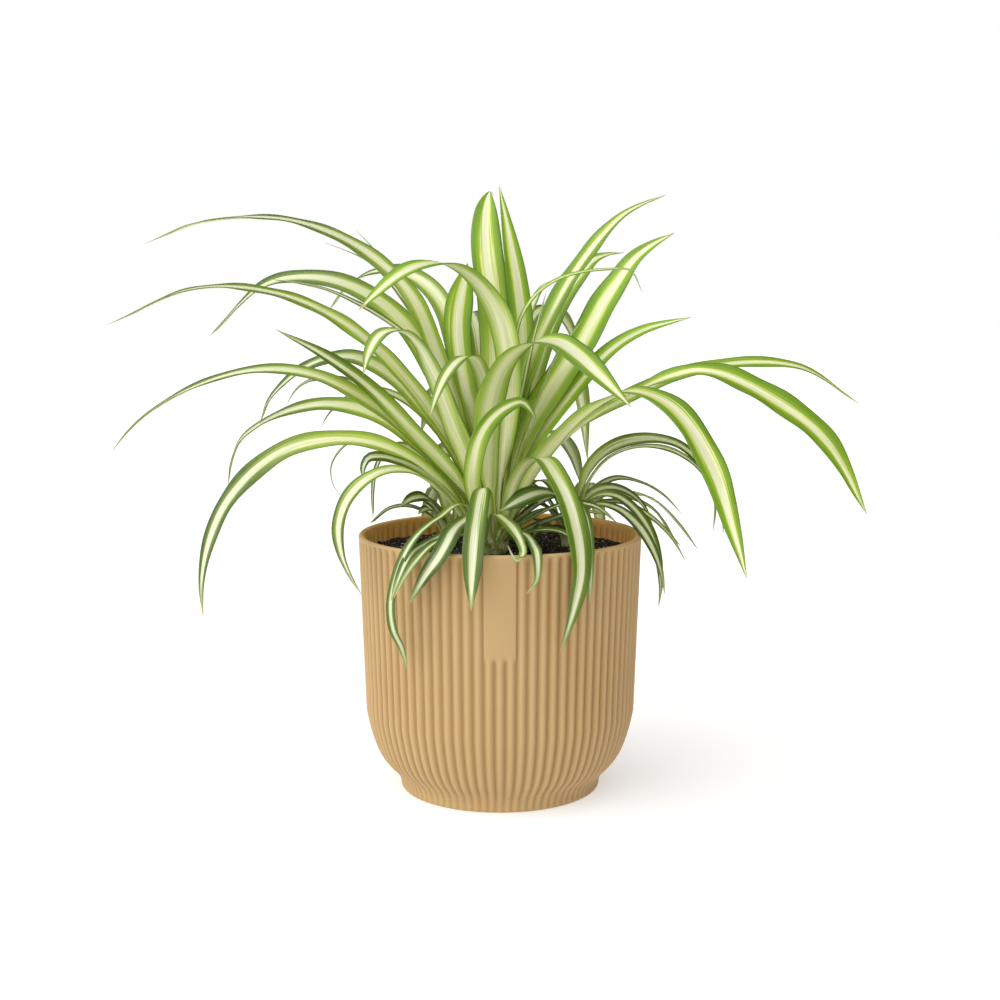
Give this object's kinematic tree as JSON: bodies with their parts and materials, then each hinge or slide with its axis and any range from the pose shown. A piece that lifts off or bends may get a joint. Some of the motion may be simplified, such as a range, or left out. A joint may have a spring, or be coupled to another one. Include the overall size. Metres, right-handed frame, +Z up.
{
  "type": "potted spider plant",
  "caption": "Spider plant with arching cream-striped leaves growing from small crowns in soil, in a round ribbed plastic pot that stands on its foot.",
  "frame": {"origin": "centre of the pot's underside, on the surface it stands on", "axes": "+Z up along the pot's axis, -Y towards the viewer and the pot's smooth front panel, +X to the viewer's right"},
  "size_m": [0.3859, 0.2247, 0.302],
  "materials": {
    "pot": "matte sand-coloured moulded plastic with fine upright ribs",
    "soil": "dark moist potting mix of peat and bark, granular",
    "crown": "pale green living leaf bases, satin",
    "leaf": "living leaf, green margins with a cream stripe down the middle, satin"
  },
  "bodies": {
    "root": {"crown_left": "crown", "crown_main": "crown", "crown_right": "crown", "leaf_back_01": "leaf", "leaf_back_02": "leaf", "leaf_back_03": "leaf", "leaf_back_04": "leaf", "leaf_back_05": "leaf", "leaf_back_06": "leaf", "leaf_back_07": "leaf", "leaf_back_08": "leaf", "leaf_front_01": "leaf", "leaf_front_02": "leaf", "leaf_front_03": "leaf", "leaf_front_04": "leaf", "leaf_front_05": "leaf", "leaf_front_06": "leaf", "leaf_front_07": "leaf", "leaf_front_08": "leaf", "leaf_front_09": "leaf", "leaf_front_10": "leaf", "leaf_front_11": "leaf", "leaf_left_01": "leaf", "leaf_left_02": "leaf", "leaf_left_03": "leaf", "leaf_left_04": "leaf", "leaf_left_05": "leaf", "leaf_left_06": "leaf", "leaf_left_07": "leaf", "leaf_left_08": "leaf", "leaf_left_09": "leaf", "leaf_left_10": "leaf", "leaf_left_11": "leaf", "leaf_left_12": "leaf", "leaf_left_13": "leaf", "leaf_right_01": "leaf", "leaf_right_02": "leaf", "leaf_right_03": "leaf", "leaf_right_04": "leaf", "leaf_right_05": "leaf", "leaf_right_06": "leaf", "leaf_right_07": "leaf", "leaf_right_08": "leaf", "leaf_top_01": "leaf", "leaf_top_02": "leaf", "leaf_top_03": "leaf", "leaf_top_04": "leaf", "pot": "pot", "small_left_leaf_01": "leaf", "small_left_leaf_02": "leaf", "small_left_leaf_03": "leaf", "small_right_leaf_01": "leaf", "small_right_leaf_02": "leaf", "small_right_leaf_03": "leaf", "small_right_leaf_04": "leaf", "small_right_leaf_05": "leaf", "small_right_leaf_06": "leaf", "small_right_leaf_07": "leaf", "small_right_leaf_08": "leaf", "soil": "soil"}
  },
  "joints": []
}
